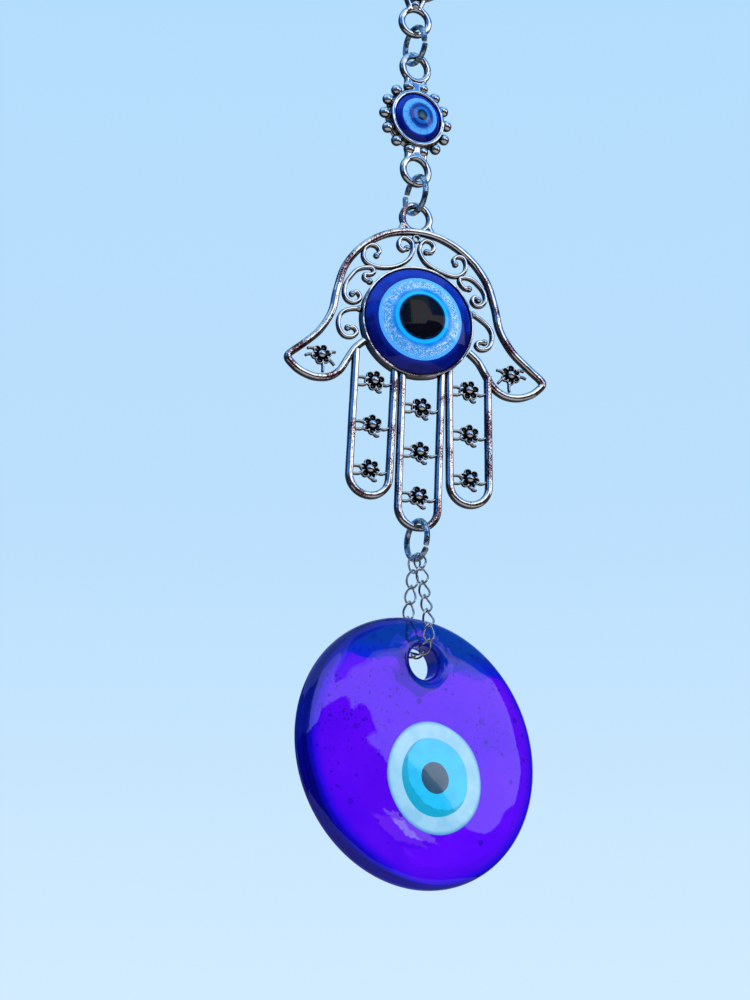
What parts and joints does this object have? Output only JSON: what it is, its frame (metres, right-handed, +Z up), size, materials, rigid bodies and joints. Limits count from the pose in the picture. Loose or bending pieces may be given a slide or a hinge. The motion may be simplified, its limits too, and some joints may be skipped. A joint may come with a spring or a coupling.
{
  "type": "evil eye hanging ornament",
  "caption": "Hanging evil eye ornament: a beaded eye charm, a filigree hamsa with a domed eye and a pierced blue glass eye disc, linked by jump rings and a doubled chain, on a hanging ring",
  "frame": {"origin": "centre of the hanging ring's bore, where the nail or hook goes", "axes": "+Z up along the hanging line, -Y is the front that the hamsa's eye faces, +X to the right seen from the front, +Y towards the wall"},
  "size_m": [0.0608, 0.0192, 0.2243],
  "materials": {
    "cast_silver": "cast white metal with an antique silver plating, dark in the hollows",
    "ring_wire": "drawn steel wire, bright, a little tarnished",
    "chain_wire": "drawn steel wire, bright",
    "cobalt_resin": "cobalt blue resin, glossy",
    "pale_blue_resin": "pale blue printed ring under clear resin",
    "mid_blue_resin": "blue printed ring under clear resin",
    "glitter_resin": "pale blue resin with fine silver glitter",
    "cyan_resin": "bright cyan resin, glossy",
    "black_resin": "black resin, glossy",
    "clear_resin": "clear domed resin, polished",
    "cobalt_glass": "cobalt violet glass with seeds and a fire-polished edge",
    "white_glass": "milky white glass, fused flush into the disc",
    "turquoise_glass": "turquoise glass, fused flush into the disc",
    "grey_glass": "grey black glass, fused flush into the disc"
  },
  "bodies": {
    "hanger": {"hanger": "cast_silver"},
    "upper_ring": {"jump_ring_upper": "ring_wire"},
    "charm": {"charm_frame": "cast_silver", "charm_eye_base": "cobalt_resin", "charm_eye_ring": "pale_blue_resin", "charm_eye_iris": "mid_blue_resin", "charm_eye_pupil": "black_resin", "charm_eye_dome": "clear_resin"},
    "middle_ring": {"jump_ring_middle": "ring_wire"},
    "hamsa": {"hamsa_loop": "cast_silver", "hamsa_outline": "cast_silver", "hamsa_bezel": "cast_silver", "hamsa_finger_left": "cast_silver", "hamsa_finger_middle": "cast_silver", "hamsa_finger_right": "cast_silver", "hamsa_scrolls_top": "cast_silver", "hamsa_scrolls_side": "cast_silver", "hamsa_scrolls_low": "cast_silver", "hamsa_flowers_thumb": "cast_silver", "hamsa_flowers_left": "cast_silver", "hamsa_flowers_middle": "cast_silver", "hamsa_flowers_right": "cast_silver", "hamsa_eye_base": "cobalt_resin", "hamsa_eye_ring": "glitter_resin", "hamsa_eye_iris": "cyan_resin", "hamsa_eye_pupil": "black_resin", "hamsa_eye_dome": "clear_resin"},
    "lower_ring": {"jump_ring_lower": "ring_wire"},
    "chain": {"chain_link_1": "chain_wire", "chain_link_2": "chain_wire", "chain_link_3": "chain_wire", "chain_link_4": "chain_wire", "chain_link_5": "chain_wire", "chain_link_6": "chain_wire", "chain_link_7": "chain_wire", "chain_link_8": "chain_wire", "chain_link_9": "chain_wire", "chain_link_10": "chain_wire", "chain_link_11": "chain_wire", "chain_link_12": "chain_wire", "chain_link_13": "chain_wire", "chain_link_14": "chain_wire", "chain_link_15": "chain_wire"},
    "glass_eye": {"glass_disc": "cobalt_glass", "glass_white": "white_glass", "glass_turquoise": "turquoise_glass", "glass_pupil": "grey_glass"}
  },
  "joints": [
    {"name": "upper_ring_swing", "type": "hinge", "parent": "hanger", "child": "upper_ring", "pos_m": [0, 0, -0.01745], "axis": [1, 0, 0], "range_deg": [-40, 40]},
    {"name": "charm_twist", "type": "hinge", "parent": "upper_ring", "child": "charm", "pos_m": [0, 0, -0.02435], "axis": [0, 0, 1], "range_deg": [-20, 20]},
    {"name": "middle_ring_swing", "type": "hinge", "parent": "charm", "child": "middle_ring", "pos_m": [0, 0, -0.05435], "axis": [0.9816, 0.1908, 0], "range_deg": [-40, 40]},
    {"name": "hamsa_sway", "type": "hinge", "parent": "middle_ring", "child": "hamsa", "pos_m": [0, 0, -0.06125], "axis": [-0.225, 0.9744, 0], "range_deg": [-30, 30]},
    {"name": "lower_ring_swing", "type": "hinge", "parent": "hamsa", "child": "lower_ring", "pos_m": [0, 0, -0.13545], "axis": [1, 0, 0], "range_deg": [-35, 35]},
    {"name": "chain_sway", "type": "hinge", "parent": "lower_ring", "child": "chain", "pos_m": [0, 0, -0.14235], "axis": [-0.2419, 0.9703, 0], "range_deg": [-25, 25]},
    {"name": "glass_sway", "type": "hinge", "parent": "chain", "child": "glass_eye", "pos_m": [0, 0, -0.16385], "axis": [-0.2756, 0.9613, 0], "range_deg": [-20, 20]}
  ]
}
